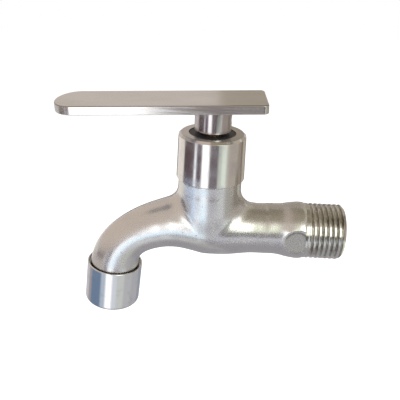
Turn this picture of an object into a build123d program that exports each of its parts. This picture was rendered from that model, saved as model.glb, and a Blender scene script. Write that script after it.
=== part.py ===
from build123d import *
import os
from math import cos, radians, sin, sqrt, tan

os.makedirs("parts", exist_ok=True)

# A utility sink tap. All lengths are in millimetres, all angles in degrees.
# The origin is the centre of the inlet where the thread meets its shoulder.
# The inlet points along +X, the spout along -X and the neck stands along +Z.

# Inlet thread, G 1/2, as a plain cylinder over its crests
thread_diameter = 20.955
thread_length = 15.0
thread_lead = 1.1
inlet_bore_diameter = 14.5
inlet_bore_depth = 28.0
drill_point_angle = 59.0

# Body between the inlet and the neck
neck_reach = 36.0
collar_rise = 1.25
collar_width = 5.5
flare_width = 3.5
barrel_diameter = 19.2
belly_diameter = 21.8
crotch_fillet = 6.5
collar_edge = 0.3

# Round flat sunk into the front of the collar
flat_diameter = 9.6
flat_setback = 2.9
flat_drop = 0.6
flat_depth = 1.2

# Neck that carries the valve
valve_thread_diameter = 18.0
spigot_wall = 1.95
spigot_step = 0.75
spigot_height = 3.75
shoulder_height = 20.25
neck_lip_reach = 0.6
neck_lip_height = 2.0
neck_foot_round = 8.0
neck_foot_angle = 60.0
valve_bore_floor = 1.0
seat_bore_diameter = 8.4
feed_diameter = 7.0
feed_drop = 4.6

# Spout, from the neck axis to the rim of the aerator
spout_reach = 35.93
spout_drop = 17.73
spout_lean = 5.4
spout_start_height = 2.17
spout_level_pull = 22.0
spout_end_pull = 11.5
spout_root_diameter = 20.8
spout_throat_diameter = 16.7
spout_end_diameter = 19.2
spout_passage_diameter = 11.6
spout_nozzle_length = 10.5
spout_collar_length = 3.0

# Bonnet sleeve over the valve
sleeve_height = 16.95
sleeve_overhang = 0.75
sleeve_taper = 0.35
sleeve_roof = 1.8
sleeve_top_chamfer = 0.9
sleeve_foot_round = 0.3

# Valve cartridge
housing_relief_cut = 0.8
housing_thread_height = 9.8
housing_flange_inset = 0.55
housing_flange_gap = 0.2
housing_flange_thickness = 1.2
housing_hex_inset = 1.9
housing_hex_height = 5.0
housing_hex_chamfer = 0.5
housing_tip_wall = 2.2
housing_tip_height = 3.2
housing_chamber_wall = 1.3
housing_foot_gap = 0.4
window_width = 8.0
window_margin = 0.4
valve_washer_thickness = 0.8
seat_washer_thickness = 1.8
fixed_disc_thickness = 2.8
moving_disc_thickness = 3.0
fixed_disc_gap = 0.15
moving_disc_gap = 0.3
port_inner_diameter = 3.2
port_land = 1.2
port_angle = 80.0

# Spindle and what it carries
spindle_diameter = 8.0
spindle_foot_gap = 0.3
spindle_foot_height = 2.5
spline_length = 9.0
spline_count = 20
spline_depth = 0.4
spline_groove_width = 0.6
tang_width = 3.0
tang_height = 1.4
tang_inset = 3.4
stop_angle = 40.0
stop_depth = 0.9
handle_travel = 90.0
stop_play = 2.5
thrust_washer_thickness = 0.5
o_ring_section = 1.15
o_ring_groove_width = 1.5
o_ring_rise = 4.4
o_ring_spacing = 4.0
circlip_thickness = 0.6
circlip_reach = 1.2
circlip_groove_depth = 0.65
circlip_gap_width = 3.0
circlip_lift = 0.3

# Nylon ring in the mouth of the sleeve
ring_wall = 2.0
ring_flange_overlap = 0.85
ring_flange_thickness = 1.1
ring_recess = 0.3
ring_neck_gap = 0.15
ring_lip_thickness = 0.8
ring_lip_gap = 0.3

# Handle: a flat lever on a turned hub
hub_wall = 2.55
hub_height = 8.6
hub_lift = 0.7
hub_cover = 1.5
hub_chamfer = 0.35
hub_bore_relief = 0.3
lever_thickness = 3.2
lever_width = 22.0
lever_tip_reach = 55.6
lever_heel_reach = 18.1
lever_tip_round = 7.3
lever_heel_round = 2.0
lever_droop = 3.15
lever_top_edge = 0.4
lever_bottom_edge = 0.3
grub_screw_diameter = 3.0
grub_screw_rise = 4.7
grub_screw_recess = 0.3
grub_socket_flats = 1.5
grub_socket_depth = 1.2

# Aerator, measured down its own axis from its rim
aerator_skirt_gap = 0.55
aerator_skirt_wall = 0.59
aerator_height = 17.04
aerator_bottom_round = 1.4
aerator_rim_round = 0.25
aerator_skirt_depth = 4.2
aerator_thread_step = 0.6
aerator_ledge = 0.8
aerator_washer_thickness = 1.5
aerator_washer_hole = 12.4
cage_flange_thickness = 1.2
cage_wall = 0.8
cage_lip = 0.8
cage_recess = 0.4
cage_floor_lip = 0.6
diffuser_thickness = 1.0
diffuser_hole_diameter = 1.2
diffuser_hole_count = 16
jet_ring_share = 0.72
screen_thickness = 0.3
screen_gap = 0.45
screen_pitch = 1.7
screen_hole = 1.1
grid_thickness = 1.0
grid_hole_diameter = 1.5
grid_pitch = 2.0

# Clearances
running_clearance = 0.06
thread_clearance = 0.05
fit_clearance = 0.1
overrun = 1.0

# Diameters that follow from one another, from the valve outwards and inwards
collar_diameter = barrel_diameter + collar_rise * 2
spigot_diameter = valve_thread_diameter + spigot_wall * 2
neck_diameter = spigot_diameter + spigot_step * 2
sleeve_bottom_diameter = neck_diameter + sleeve_overhang * 2
sleeve_top_diameter = sleeve_bottom_diameter - sleeve_taper * 2
housing_flange_diameter = spigot_diameter - housing_flange_inset * 2
housing_hex_flats = housing_flange_diameter - housing_hex_inset * 2
sleeve_cavity_diameter = housing_flange_diameter + housing_flange_gap * 2
housing_relief_diameter = valve_thread_diameter - housing_relief_cut * 2
chamber_diameter = housing_relief_diameter - housing_chamber_wall * 2
fixed_disc_diameter = chamber_diameter - fixed_disc_gap * 2
moving_disc_diameter = chamber_diameter - moving_disc_gap * 2
port_outer_diameter = moving_disc_diameter - port_land * 2
stop_diameter = chamber_diameter - stop_depth * 2
spindle_foot_diameter = stop_diameter - spindle_foot_gap * 2
housing_tip_diameter = spindle_diameter + housing_tip_wall * 2
ring_bore_diameter = housing_tip_diameter + ring_neck_gap * 2
ring_outer_diameter = ring_bore_diameter + ring_wall * 2
sleeve_mouth_diameter = ring_outer_diameter + fit_clearance * 2
circlip_diameter = spindle_diameter + circlip_reach * 2
hub_diameter = spindle_diameter + hub_wall * 2
aerator_skirt_diameter = spout_end_diameter + aerator_skirt_gap * 2
aerator_diameter = aerator_skirt_diameter + aerator_skirt_wall * 2
aerator_thread_diameter = spout_end_diameter - aerator_thread_step * 2
aerator_mouth_diameter = aerator_thread_diameter - aerator_ledge * 2

# Heights up the neck, each seated on the piece below it
spigot_top = shoulder_height + spigot_height
sleeve_top = shoulder_height + sleeve_height
sleeve_ceiling = sleeve_top - sleeve_roof
fixed_disc_bottom = valve_bore_floor + seat_washer_thickness
moving_disc_bottom = fixed_disc_bottom + fixed_disc_thickness
foot_bottom = moving_disc_bottom + moving_disc_thickness
foot_top = foot_bottom + spindle_foot_height
chamber_top = foot_top + thrust_washer_thickness
housing_bottom = valve_bore_floor + housing_foot_gap
flange_bottom = spigot_top + valve_washer_thickness
hex_bottom = flange_bottom + housing_flange_thickness
hex_top = hex_bottom + housing_hex_height
housing_top = hex_top + housing_tip_height
o_ring_lower_height = chamber_top + o_ring_rise
o_ring_upper_height = o_ring_lower_height + o_ring_spacing
hub_bottom = sleeve_top + hub_lift
hub_top = hub_bottom + hub_height
spindle_top = hub_top - hub_cover
lever_top_height = hub_top + lever_thickness / cos(radians(lever_droop))

# Planes and axes that the pieces share
neck_axis = Axis((-neck_reach, 0, 0), (0, 0, 1))
neck_section = Plane(origin=(-neck_reach, 0, 0), x_dir=(1, 0, 0), z_dir=(0, -1, 0))
lean = radians(spout_lean)
spout_down = Vector(-sin(lean), 0, -cos(lean))
spout_across = Vector(cos(lean), 0, -sin(lean))
rim_centre = Vector(-neck_reach - spout_reach, 0, -spout_drop)
rim_axis = Axis(rim_centre, spout_down)
rim_section = Plane(origin=rim_centre, x_dir=spout_across, z_dir=(0, 1, 0))
droop = radians(lever_droop)
lever_slope = Vector(cos(droop), 0, sin(droop))
lever_normal = Vector(-sin(droop), 0, cos(droop))
lever_axis = Axis((-neck_reach, 0, lever_top_height), lever_normal)
lever_top = Plane(origin=lever_axis.position, x_dir=lever_slope, z_dir=lever_normal)


def neck_plane(height):
    """A level plane on the neck axis."""
    return Plane(origin=(-neck_reach, 0, height))


def rim_plane(depth):
    """A plane across the aerator's axis, looking down it."""
    return Plane(origin=rim_centre + spout_down * depth, x_dir=spout_across, z_dir=spout_down)


# Radii that fit one another
spindle_radius = spindle_diameter / 2
shaft_bore_radius = spindle_radius + running_clearance
o_ring_groove_radius = shaft_bore_radius - running_clearance / 2 - o_ring_section
circlip_groove_radius = spindle_radius - circlip_groove_depth
valve_bore_radius = valve_thread_diameter / 2
mouth_radius = sleeve_mouth_diameter / 2
tip_radius = housing_tip_diameter / 2
chamber_radius = chamber_diameter / 2

# The spout's line: level at the neck, then over and down to the leaning rim
spout_start = Vector(-neck_reach, 0, spout_start_height)
with BuildLine() as spout_line:
    Bezier(
        spout_start,
        spout_start - Vector(spout_level_pull, 0, 0),
        rim_centre - spout_down * spout_end_pull,
        rim_centre,
    )

# Shares of the way from the barrel to the neck, and how far each section fills to the belly
barrel_end = -collar_width - flare_width
run_shares = (0.0, 0.2, 0.4, 0.7, 1.0)
belly_shares = (0.0, 0.0, 0.05, 0.8, 1.0)

# Shares of the spout's length, and how far each section is from root to throat to end
spout_shares = (0.27, 0.36, 0.5, 0.64, 0.78, 0.9, 1.0)
spout_root_shares = (0.8, 0.5, 0.22, 0.03, 0.0, 0.0, 0.0)
spout_end_shares = (0.0, 0.0, 0.0, 0.0, 0.12, 0.5, 1.0)
passage_shares = (0.165, 0.4, 0.6, 0.8, 1.0)

# Body: one casting with the inlet, the neck and the spout
with BuildPart() as body:
    # Collar and inlet thread with its leading chamfer
    thread_radius = thread_diameter / 2
    with BuildSketch(Plane.XZ):
        with BuildLine():
            Polyline(
                (barrel_end, 0),
                (thread_length, 0),
                (thread_length, thread_radius - thread_lead),
                (thread_length - thread_lead, thread_radius),
                (0, thread_radius),
                (0, collar_diameter / 2 - collar_edge),
                (-collar_edge, collar_diameter / 2),
                (-collar_width, collar_diameter / 2),
                (barrel_end, barrel_diameter / 2),
                close=True,
            )
        make_face()
    revolve(axis=Axis.X)

    # One run from the barrel, full under the neck, then drawn out into the spout
    for share, belly_share in zip(run_shares, belly_shares):
        run_x = barrel_end + share * (-neck_reach - barrel_end)
        with BuildSketch(Plane(origin=(run_x, 0, 0), z_dir=(-1, 0, 0))):
            Circle((barrel_diameter + belly_share * (belly_diameter - barrel_diameter)) / 2)
    for share, root_share, end_share in zip(spout_shares, spout_root_shares, spout_end_shares):
        from_throat = root_share * (spout_root_diameter - spout_throat_diameter)
        to_end = end_share * (spout_end_diameter - spout_throat_diameter)
        with BuildSketch(Plane(origin=spout_line.line @ share, z_dir=spout_line.line % share)):
            Circle((spout_throat_diameter + from_throat + to_end) / 2)
    loft()

    # Neck, rounded in below where it sinks into the run
    with BuildSketch(neck_section):
        with BuildLine():
            foot_arc = CenterArc(
                (neck_diameter / 2 - neck_foot_round, 0), neck_foot_round, 0, -neck_foot_angle
            )
            Polyline(
                foot_arc @ 1,
                (0, (foot_arc @ 1).Y),
                (0, spigot_top),
                (spigot_diameter / 2, spigot_top),
                (spigot_diameter / 2, shoulder_height),
                (neck_diameter / 2 + neck_lip_reach, shoulder_height),
                (neck_diameter / 2, shoulder_height - neck_lip_height),
                (neck_diameter / 2, 0),
            )
        make_face()
    revolve(axis=neck_axis)

    # The crotches where the run and the spout meet the neck
    crotch_edges = [
        edge
        for edge in body.edges().filter_by(GeomType.BSPLINE)
        if edge.bounding_box().size.Y > neck_diameter / 8
        and abs(edge.center().X + neck_reach) < neck_diameter / 2
    ]
    fillet(crotch_edges, radius=crotch_fillet)

    # Nozzle under the rim, stepped down to the aerator's thread
    nozzle_radius = aerator_thread_diameter / 2 - thread_clearance
    nozzle_step = spout_end_diameter / 2 - nozzle_radius
    with BuildSketch(rim_section):
        with BuildLine():
            Polyline(
                (0, 0),
                (spout_end_diameter / 2, 0),
                (spout_end_diameter / 2, spout_collar_length),
                (nozzle_radius, spout_collar_length + nozzle_step),
                (nozzle_radius, spout_nozzle_length),
                (0, spout_nozzle_length),
                close=True,
            )
        make_face()
    revolve(axis=rim_axis)

    # Inlet bore with its drill point, and the feed to the seat
    bore_end = thread_length - inlet_bore_depth
    drill_point = inlet_bore_diameter / 2 / tan(radians(drill_point_angle))
    with BuildSketch(Plane.XZ):
        with BuildLine():
            Polyline(
                (thread_length + overrun, 0),
                (thread_length + overrun, inlet_bore_diameter / 2),
                (bore_end, inlet_bore_diameter / 2),
                (bore_end - drill_point, 0),
                close=True,
            )
        make_face()
    revolve(axis=Axis.X, mode=Mode.SUBTRACT)
    with BuildSketch(Plane.YZ.offset(bore_end)):
        with Locations((0, -feed_drop)):
            Circle(feed_diameter / 2)
    extrude(amount=-(neck_reach + bore_end), mode=Mode.SUBTRACT)

    # Valve bore, and the seat bore down to the feed
    with BuildSketch(neck_plane(valve_bore_floor)):
        Circle(valve_bore_radius)
    extrude(amount=spigot_top - valve_bore_floor + overrun, mode=Mode.SUBTRACT)
    with BuildSketch(neck_plane(-feed_drop)):
        Circle(seat_bore_diameter / 2)
    extrude(amount=feed_drop + valve_bore_floor + overrun, mode=Mode.SUBTRACT)

    # Waterway down the spout
    for share in passage_shares:
        with BuildSketch(Plane(origin=spout_line.line @ share, z_dir=spout_line.line % share)):
            Circle(spout_passage_diameter / 2)
    loft(mode=Mode.SUBTRACT)
    with BuildSketch(rim_plane(0)):
        Circle(spout_passage_diameter / 2)
    extrude(amount=spout_nozzle_length + overrun, mode=Mode.SUBTRACT)

    # The round flat on the collar's front
    with BuildSketch(Plane.XZ.offset(collar_diameter / 2 - flat_depth)):
        with Locations((-flat_setback, -flat_drop)):
            Circle(flat_diameter / 2)
    extrude(amount=flat_depth + overrun, mode=Mode.SUBTRACT)

# Bonnet sleeve: a turned cap screwed down over the neck
with BuildPart() as bonnet_sleeve:
    sleeve_thread_radius = spigot_diameter / 2 + thread_clearance
    sleeve_thread_top = flange_bottom - valve_washer_thickness / 2
    with BuildSketch(neck_section):
        with BuildLine():
            Polyline(
                (sleeve_thread_radius, shoulder_height),
                (sleeve_bottom_diameter / 2, shoulder_height),
                (sleeve_top_diameter / 2, sleeve_top),
                (mouth_radius, sleeve_top),
                (mouth_radius, sleeve_ceiling),
                (sleeve_cavity_diameter / 2, sleeve_ceiling),
                (sleeve_cavity_diameter / 2, sleeve_thread_top),
                (sleeve_thread_radius, sleeve_thread_top),
                close=True,
            )
        make_face()
    revolve(axis=neck_axis)
    sleeve_rims = bonnet_sleeve.edges().filter_by(GeomType.CIRCLE)
    top_rim = sleeve_rims.group_by(Axis.Z)[-1].sort_by(SortBy.RADIUS)[-1]
    foot_rim = sleeve_rims.group_by(Axis.Z)[0].sort_by(SortBy.RADIUS)[-1]
    chamfer(top_rim, length=sleeve_top_chamfer)
    fillet(foot_rim, radius=sleeve_foot_round)

# Nylon ring that closes the sleeve's mouth round the valve's tip
with BuildPart() as dust_ring:
    ring_inner_radius = ring_bore_diameter / 2
    ring_outer_radius = ring_outer_diameter / 2
    ring_flange_radius = mouth_radius + ring_flange_overlap
    ring_lip_radius = spindle_radius + ring_lip_gap
    ring_top = sleeve_top - ring_recess
    with BuildSketch(neck_section):
        with BuildLine():
            Polyline(
                (ring_inner_radius, hex_top),
                (ring_outer_radius, hex_top),
                (ring_outer_radius, sleeve_ceiling - ring_flange_thickness),
                (ring_flange_radius, sleeve_ceiling - ring_flange_thickness),
                (ring_flange_radius, sleeve_ceiling),
                (ring_outer_radius, sleeve_ceiling),
                (ring_outer_radius, ring_top),
                (ring_lip_radius, ring_top),
                (ring_lip_radius, ring_top - ring_lip_thickness),
                (ring_inner_radius, ring_top - ring_lip_thickness),
                close=True,
            )
        make_face()
    revolve(axis=neck_axis)

# Cartridge housing: threaded below its flange, a hexagon above it
with BuildPart() as cartridge_housing:
    housing_thread_radius = valve_bore_radius - thread_clearance
    housing_thread_bottom = flange_bottom - housing_thread_height
    with BuildSketch(neck_section):
        with BuildLine():
            Polyline(
                (chamber_radius, housing_bottom),
                (housing_relief_diameter / 2, housing_bottom),
                (housing_relief_diameter / 2, housing_thread_bottom),
                (housing_thread_radius, housing_thread_bottom),
                (housing_thread_radius, flange_bottom),
                (housing_flange_diameter / 2, flange_bottom),
                (housing_flange_diameter / 2, hex_bottom),
                (tip_radius, hex_bottom),
                (tip_radius, housing_top),
                (shaft_bore_radius, housing_top),
                (shaft_bore_radius, chamber_top),
                (chamber_radius, chamber_top),
                close=True,
            )
        make_face()
    revolve(axis=neck_axis)
    with BuildSketch(neck_plane(hex_bottom)):
        RegularPolygon(housing_hex_flats / 2, side_count=6, major_radius=False)
        Circle(shaft_bore_radius, mode=Mode.SUBTRACT)
    extrude(amount=housing_hex_height)
    hex_rims = cartridge_housing.faces().filter_by(Axis.Z).group_by(Axis.Z)[-2].edges()
    chamfer(hex_rims.filter_by(GeomType.LINE), length=housing_hex_chamfer)

    # Two windows that let the water out beside the discs
    window_bottom = moving_disc_bottom + window_margin
    window_top = foot_bottom - window_margin
    with BuildSketch(neck_section.offset(-window_width / 2)):
        with Locations((0, (window_bottom + window_top) / 2)):
            Rectangle(housing_thread_radius * 2, window_top - window_bottom)
    extrude(amount=window_width, mode=Mode.SUBTRACT)

    # Two stops on the chamber's wall that end the spindle's turn
    with BuildSketch(neck_plane(foot_bottom)):
        for middle in (90, 270):
            with BuildLine():
                stop_start = middle - stop_angle / 2
                inner_arc = CenterArc((0, 0), stop_diameter / 2, stop_start, stop_angle)
                outer_arc = CenterArc((0, 0), chamber_radius + fit_clearance, stop_start, stop_angle)
                Line(inner_arc @ 0, outer_arc @ 0)
                Line(inner_arc @ 1, outer_arc @ 1)
            make_face()
    extrude(amount=spindle_foot_height)

# Fibre washer under the cartridge's flange
with BuildPart() as cartridge_washer:
    with BuildSketch(neck_plane(spigot_top)):
        Circle(housing_flange_diameter / 2)
        Circle(valve_bore_radius, mode=Mode.SUBTRACT)
    extrude(amount=valve_washer_thickness)

# Rubber washer between the seat and the fixed disc
with BuildPart() as seat_washer:
    with BuildSketch(neck_plane(valve_bore_floor)):
        Circle(moving_disc_diameter / 2)
        Circle(seat_bore_diameter / 2, mode=Mode.SUBTRACT)
    extrude(amount=seat_washer_thickness)

# Fixed ceramic disc with two closed ports along X
with BuildPart() as fixed_disc:
    with BuildSketch(neck_plane(fixed_disc_bottom)):
        Circle(fixed_disc_diameter / 2)
    extrude(amount=fixed_disc_thickness)
    with BuildSketch(neck_plane(fixed_disc_bottom)):
        for middle in (0, 180):
            with BuildLine():
                inner_arc = CenterArc((0, 0), port_inner_diameter / 2, middle - port_angle / 2, port_angle)
                outer_arc = CenterArc((0, 0), port_outer_diameter / 2, middle - port_angle / 2, port_angle)
                Line(inner_arc @ 0, outer_arc @ 0)
                Line(inner_arc @ 1, outer_arc @ 1)
            make_face()
    extrude(amount=fixed_disc_thickness, mode=Mode.SUBTRACT)

# Moving ceramic disc: ports open to its rim, a quarter turn from the fixed ones when shut
with BuildPart() as moving_disc:
    with BuildSketch(neck_plane(moving_disc_bottom)):
        Circle(moving_disc_diameter / 2)
    extrude(amount=moving_disc_thickness)
    with BuildSketch(neck_plane(moving_disc_bottom)):
        for middle in (90, 270):
            with BuildLine():
                inner_arc = CenterArc((0, 0), port_inner_diameter / 2, middle - port_angle / 2, port_angle)
                outer_arc = CenterArc((0, 0), moving_disc_diameter, middle - port_angle / 2, port_angle)
                Line(inner_arc @ 0, outer_arc @ 0)
                Line(inner_arc @ 1, outer_arc @ 1)
            make_face()
    extrude(amount=moving_disc_thickness, mode=Mode.SUBTRACT)

    # Notches in its top for the spindle's two tangs
    with BuildSketch(neck_plane(foot_bottom)):
        Rectangle(moving_disc_diameter + overrun, tang_width)
        Rectangle(tang_inset * 2, tang_width, mode=Mode.SUBTRACT)
    extrude(amount=-(tang_height + fit_clearance), mode=Mode.SUBTRACT)

# Spindle: foot with tangs and wings, sealed shaft, splined end
with BuildPart() as spindle:
    circlip_bottom = housing_top + circlip_lift
    o_ring_heights = (o_ring_lower_height, o_ring_upper_height)
    with BuildSketch(neck_plane(foot_bottom)):
        Circle(spindle_foot_diameter / 2)
    extrude(amount=spindle_foot_height)
    wing_angle = 180 - stop_angle - handle_travel - stop_play * 2
    with BuildSketch(neck_plane(foot_bottom)):
        for middle in (90, 270):
            wing_start = middle + stop_angle / 2 + stop_play
            with BuildLine():
                wing_arc = CenterArc((0, 0), moving_disc_diameter / 2, wing_start, wing_angle)
                Line((0, 0), wing_arc @ 0)
                Line((0, 0), wing_arc @ 1)
            make_face()
    extrude(amount=spindle_foot_height)
    with BuildSketch(neck_plane(foot_bottom)):
        Rectangle(spindle_foot_diameter, tang_width - fit_clearance * 2)
        Rectangle((tang_inset + fit_clearance) * 2, tang_width, mode=Mode.SUBTRACT)
    extrude(amount=-tang_height)
    with BuildSketch(neck_plane(foot_top)):
        Circle(spindle_radius)
    extrude(amount=spindle_top - foot_top)

    # Grooves for the two O-rings and the circlip
    for height in o_ring_heights:
        with BuildSketch(neck_plane(height - o_ring_groove_width / 2)):
            Circle(spindle_radius + overrun)
            Circle(o_ring_groove_radius, mode=Mode.SUBTRACT)
        extrude(amount=o_ring_groove_width, mode=Mode.SUBTRACT)
    with BuildSketch(neck_plane(circlip_bottom - fit_clearance)):
        Circle(spindle_radius + overrun)
        Circle(circlip_groove_radius, mode=Mode.SUBTRACT)
    extrude(amount=circlip_thickness + fit_clearance * 2, mode=Mode.SUBTRACT)

    # Splines on the end that the hub grips
    with BuildSketch(neck_plane(spindle_top - spline_length)):
        with PolarLocations(spindle_radius, spline_count):
            Rectangle(spline_depth * 2, spline_groove_width)
    extrude(amount=spline_length, mode=Mode.SUBTRACT)

# Thrust washer between the spindle's foot and the housing
with BuildPart() as thrust_washer:
    with BuildSketch(neck_plane(foot_top)):
        Circle(stop_diameter / 2 - fit_clearance)
        Circle(shaft_bore_radius, mode=Mode.SUBTRACT)
    extrude(amount=thrust_washer_thickness)

# The two O-rings in the spindle's grooves
o_ring_centre_radius = o_ring_groove_radius + o_ring_section / 2
with BuildPart() as spindle_o_ring_lower:
    with BuildSketch(neck_section):
        with Locations((o_ring_centre_radius, o_ring_lower_height)):
            Circle(o_ring_section / 2)
    revolve(axis=neck_axis)
with BuildPart() as spindle_o_ring_upper:
    with BuildSketch(neck_section):
        with Locations((o_ring_centre_radius, o_ring_upper_height)):
            Circle(o_ring_section / 2)
    revolve(axis=neck_axis)

# Circlip that keeps the spindle from dropping
with BuildPart() as spindle_circlip:
    with BuildSketch(neck_plane(circlip_bottom)):
        Circle(circlip_diameter / 2)
        Circle(circlip_groove_radius, mode=Mode.SUBTRACT)
        with Locations((circlip_diameter / 2, 0)):
            Rectangle(circlip_diameter, circlip_gap_width, mode=Mode.SUBTRACT)
    extrude(amount=circlip_thickness)

# Hub: turned, bored for the splines and cut to the lever's slope
with BuildPart() as handle_hub:
    hub_bore_radius = spindle_radius + fit_clearance / 2
    with BuildSketch(neck_plane(hub_bottom)):
        Circle(hub_diameter / 2)
    extrude(amount=lever_top_height - hub_bottom)
    split(bisect_by=lever_top.offset(-lever_thickness), keep=Keep.BOTTOM)
    chamfer(handle_hub.edges().filter_by(GeomType.CIRCLE).sort_by(Axis.Z)[0], length=hub_chamfer)
    with BuildSketch(neck_plane(hub_bottom)):
        Circle(hub_bore_radius)
    extrude(amount=spindle_top + hub_bore_relief - hub_bottom, mode=Mode.SUBTRACT)
    grub_plane = Plane(origin=(-neck_reach, 0, hub_bottom + grub_screw_rise), z_dir=(1, 0, 0))
    with BuildSketch(grub_plane):
        Circle(grub_screw_diameter / 2 + thread_clearance)
    extrude(amount=hub_diameter, mode=Mode.SUBTRACT)

# Lever: a flat plate, square at the heel and drawn to a blunt oval at the tip
with BuildPart() as lever_plate:
    tip_start = -lever_tip_reach + lever_tip_round
    with BuildSketch(lever_top):
        with BuildLine():
            Polyline(
                (tip_start, lever_width / 2),
                (lever_heel_reach, lever_width / 2),
                (lever_heel_reach, -lever_width / 2),
                (tip_start, -lever_width / 2),
            )
            EllipticalCenterArc(
                (tip_start, 0), lever_tip_round, lever_width / 2, start_angle=90, arc_size=180
            )
        lever_outline = make_face()
        heel_corners = lever_outline.vertices().group_by(Axis.X)[-1]
        fillet(heel_corners, radius=lever_heel_round)
    extrude(amount=-lever_thickness)
    fillet(lever_plate.faces().sort_by(lever_axis)[-1].edges(), radius=lever_top_edge)
    fillet(lever_plate.faces().sort_by(lever_axis)[0].edges(), radius=lever_bottom_edge)

# Grub screw through the hub's back, tight on the splines
with BuildPart() as grub_screw:
    grub_end = hub_diameter / 2 - grub_screw_recess
    with BuildSketch(grub_plane.offset(hub_bore_radius)):
        Circle(grub_screw_diameter / 2)
    extrude(amount=grub_end - hub_bore_radius)
    with BuildSketch(grub_plane.offset(grub_end)):
        RegularPolygon(grub_socket_flats / 2, side_count=6, major_radius=False)
    extrude(amount=-grub_socket_depth, mode=Mode.SUBTRACT)

# Depths down the aerator, each piece seated on the next
washer_depth = spout_nozzle_length
cage_flange_depth = washer_depth + aerator_washer_thickness
shell_ledge_depth = cage_flange_depth + cage_flange_thickness
cage_bottom_depth = aerator_height - cage_recess
cage_outer_radius = aerator_mouth_diameter / 2 - fit_clearance
cage_inner_radius = cage_outer_radius - cage_wall
flange_radius = aerator_thread_diameter / 2 - fit_clearance
insert_radius = cage_inner_radius - fit_clearance
grid_depth = cage_bottom_depth - cage_floor_lip - grid_thickness
screen_lower_depth = grid_depth - screen_gap - screen_thickness
screen_upper_depth = screen_lower_depth - screen_thickness
diffuser_depth = screen_upper_depth - diffuser_thickness

# Aerator shell: the round cup under the spout
with BuildPart() as aerator_shell:
    with BuildSketch(rim_section):
        with BuildLine():
            Polyline(
                (aerator_skirt_diameter / 2, 0),
                (aerator_diameter / 2, 0),
                (aerator_diameter / 2, aerator_height),
                (aerator_mouth_diameter / 2, aerator_height),
                (aerator_mouth_diameter / 2, shell_ledge_depth),
                (aerator_thread_diameter / 2, shell_ledge_depth),
                (aerator_thread_diameter / 2, aerator_skirt_depth),
                (aerator_skirt_diameter / 2, aerator_skirt_depth),
                close=True,
            )
        make_face()
    revolve(axis=rim_axis)
    shell_rims = aerator_shell.edges().filter_by(GeomType.CIRCLE)
    fillet(shell_rims.group_by(rim_axis)[-1].sort_by(SortBy.RADIUS)[-1], radius=aerator_bottom_round)
    fillet(shell_rims.group_by(rim_axis)[0], radius=aerator_rim_round)

# Rubber washer between the nozzle and the cage
with BuildPart() as aerator_washer:
    with BuildSketch(rim_plane(washer_depth)):
        Circle(flange_radius)
        Circle(aerator_washer_hole / 2, mode=Mode.SUBTRACT)
    extrude(amount=aerator_washer_thickness)

# Cage that holds the aerator's discs
with BuildPart() as aerator_cage:
    with BuildSketch(rim_section):
        with BuildLine():
            Polyline(
                (cage_inner_radius, cage_flange_depth),
                (flange_radius, cage_flange_depth),
                (flange_radius, shell_ledge_depth),
                (cage_outer_radius, shell_ledge_depth),
                (cage_outer_radius, cage_bottom_depth),
                (cage_inner_radius - cage_lip, cage_bottom_depth),
                (cage_inner_radius - cage_lip, cage_bottom_depth - cage_floor_lip),
                (cage_inner_radius, cage_bottom_depth - cage_floor_lip),
                close=True,
            )
        make_face()
    revolve(axis=rim_axis)

# Diffuser with a ring of jets
with BuildPart() as flow_diffuser:
    with BuildSketch(rim_plane(diffuser_depth)):
        Circle(insert_radius)
    extrude(amount=diffuser_thickness)
    with BuildSketch(rim_plane(diffuser_depth)):
        with PolarLocations(insert_radius * jet_ring_share, diffuser_hole_count):
            Circle(diffuser_hole_diameter / 2)
    extrude(amount=diffuser_thickness, mode=Mode.SUBTRACT)

# Two woven screens, each as a sheet with square holes
screen_reach = insert_radius - screen_pitch / 2
screen_rows = int(screen_reach / screen_pitch)
screen_places = [
    (column * screen_pitch, row * screen_pitch)
    for row in range(-screen_rows, screen_rows + 1)
    for column in range(-screen_rows, screen_rows + 1)
    if sqrt(column**2 + row**2) * screen_pitch < screen_reach
]
with BuildPart() as mesh_screen_upper:
    with BuildSketch(rim_plane(screen_upper_depth)):
        Circle(insert_radius)
        with Locations(*screen_places):
            Rectangle(screen_hole, screen_hole, mode=Mode.SUBTRACT)
    extrude(amount=screen_thickness)
with BuildPart() as mesh_screen_lower:
    with BuildSketch(rim_plane(screen_lower_depth)):
        Circle(insert_radius)
        with Locations(*screen_places):
            Rectangle(screen_hole, screen_hole, rotation=45, mode=Mode.SUBTRACT)
    extrude(amount=screen_thickness)

# Outlet grid seen from below
with BuildPart() as outlet_grid:
    grid_rows = int(insert_radius / grid_pitch)
    grid_places = [
        (column * grid_pitch + (row % 2) * grid_pitch / 2, row * grid_pitch * sqrt(3) / 2)
        for row in range(-grid_rows, grid_rows + 1)
        for column in range(-grid_rows, grid_rows + 1)
    ]
    grid_reach = cage_inner_radius - cage_lip - grid_hole_diameter / 2
    with BuildSketch(rim_plane(grid_depth)):
        Circle(insert_radius)
        with Locations(*[place for place in grid_places if Vector(place).length < grid_reach]):
            RegularPolygon(grid_hole_diameter / 2, side_count=6, mode=Mode.SUBTRACT)
    extrude(amount=grid_thickness)

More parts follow.
